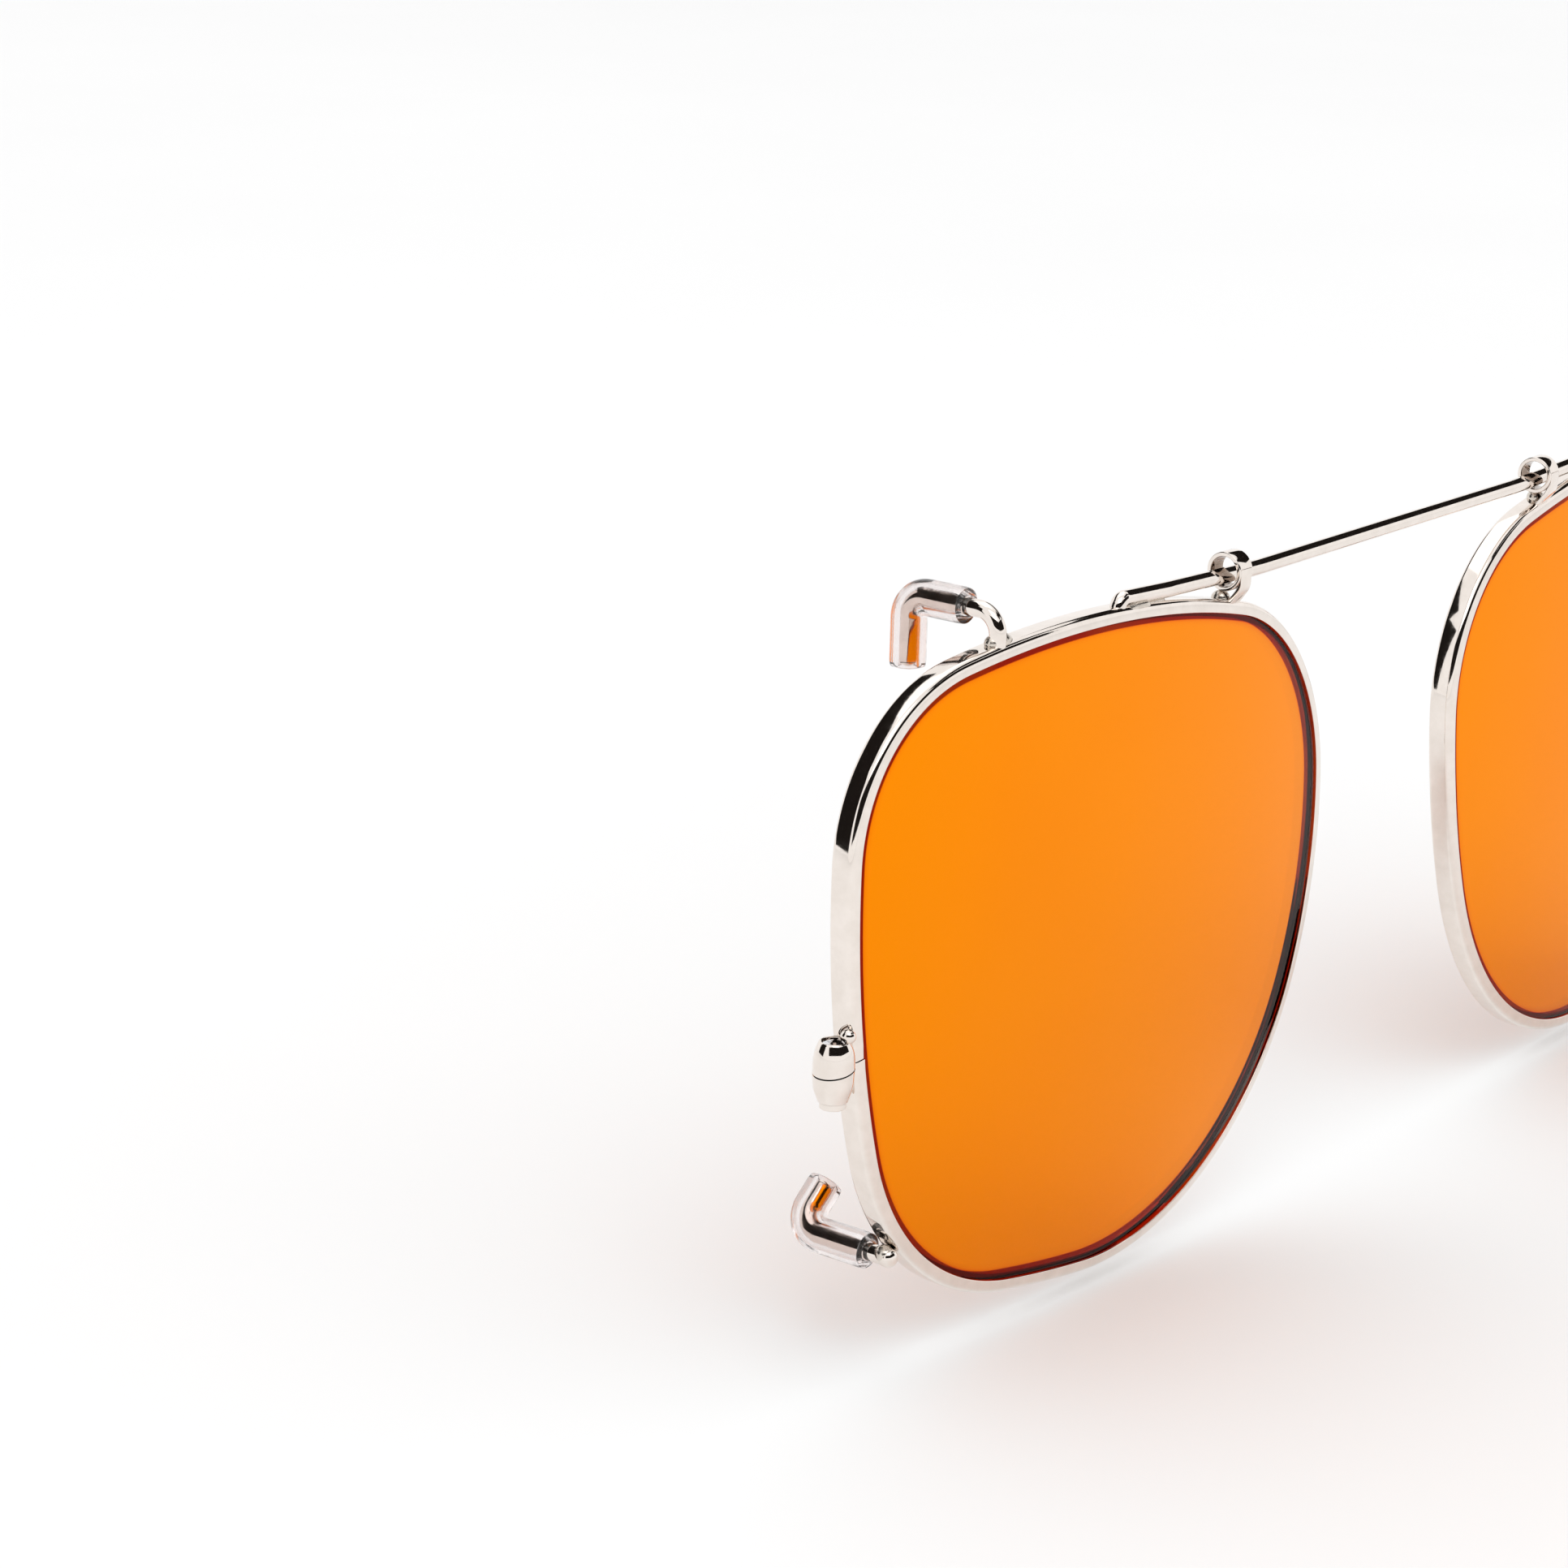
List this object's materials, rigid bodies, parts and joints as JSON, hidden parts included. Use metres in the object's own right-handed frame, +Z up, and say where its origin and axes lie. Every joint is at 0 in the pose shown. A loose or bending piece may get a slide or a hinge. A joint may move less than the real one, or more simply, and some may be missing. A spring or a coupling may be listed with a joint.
{
  "type": "clip-on tinted lens attachment",
  "caption": "Tinted lenses in polished metal rims, joined by a springy bridge bar, with sleeved wire claws that hook over the edges of spectacle lenses.",
  "frame": {"origin": "on the symmetry plane, level with the lens centres, in the plane where the front of the spectacles lies", "axes": "+X towards the wearer's left, +Y back towards the wearer, +Z up"},
  "size_m": [0.1272, 0.0122, 0.0488],
  "materials": {
    "polished_metal": "polished warm silver plate",
    "screw_steel": "polished steel",
    "tinted_lens": "clear flat orange tint, polished",
    "clear_sleeve": "clear soft silicone"
  },
  "bodies": {
    "bridge": {"bridge_bar": "polished_metal"},
    "right_half": {"right_rim": "polished_metal", "right_lens": "tinted_lens", "right_rim_lock_upper": "polished_metal", "right_rim_lock_lower": "polished_metal", "right_rim_lock_screw": "screw_steel", "right_rim_lock_bead": "polished_metal", "right_bar_foot": "polished_metal", "right_bar_foot_pad": "polished_metal", "right_bar_eyelet": "polished_metal", "right_bar_eyelet_bead": "polished_metal", "right_upper_claw": "polished_metal", "right_upper_claw_sleeve": "clear_sleeve", "right_upper_claw_braze": "polished_metal", "right_lower_claw": "polished_metal", "right_lower_claw_sleeve": "clear_sleeve", "right_lower_claw_braze": "polished_metal"},
    "left_half": {"left_rim": "polished_metal", "left_lens": "tinted_lens", "left_rim_lock_upper": "polished_metal", "left_rim_lock_lower": "polished_metal", "left_rim_lock_screw": "screw_steel", "left_rim_lock_bead": "polished_metal", "left_bar_foot": "polished_metal", "left_bar_foot_pad": "polished_metal", "left_bar_eyelet": "polished_metal", "left_bar_eyelet_bead": "polished_metal", "left_upper_claw": "polished_metal", "left_upper_claw_sleeve": "clear_sleeve", "left_upper_claw_braze": "polished_metal", "left_lower_claw": "polished_metal", "left_lower_claw_sleeve": "clear_sleeve", "left_lower_claw_braze": "polished_metal"}
  },
  "joints": [
    {"name": "right_spread", "type": "hinge", "parent": "bridge", "child": "right_half", "pos_m": [-0.02935, -0.00235, 0.0231], "axis": [0, 1, 0], "range_deg": [0, 4.5], "stiffness_Nm_per_rad": 0.6},
    {"name": "left_spread", "type": "hinge", "parent": "bridge", "child": "left_half", "pos_m": [0.02935, -0.00235, 0.0231], "axis": [0, -1, 0], "range_deg": [0, 4.5], "stiffness_Nm_per_rad": 0.6}
  ]
}
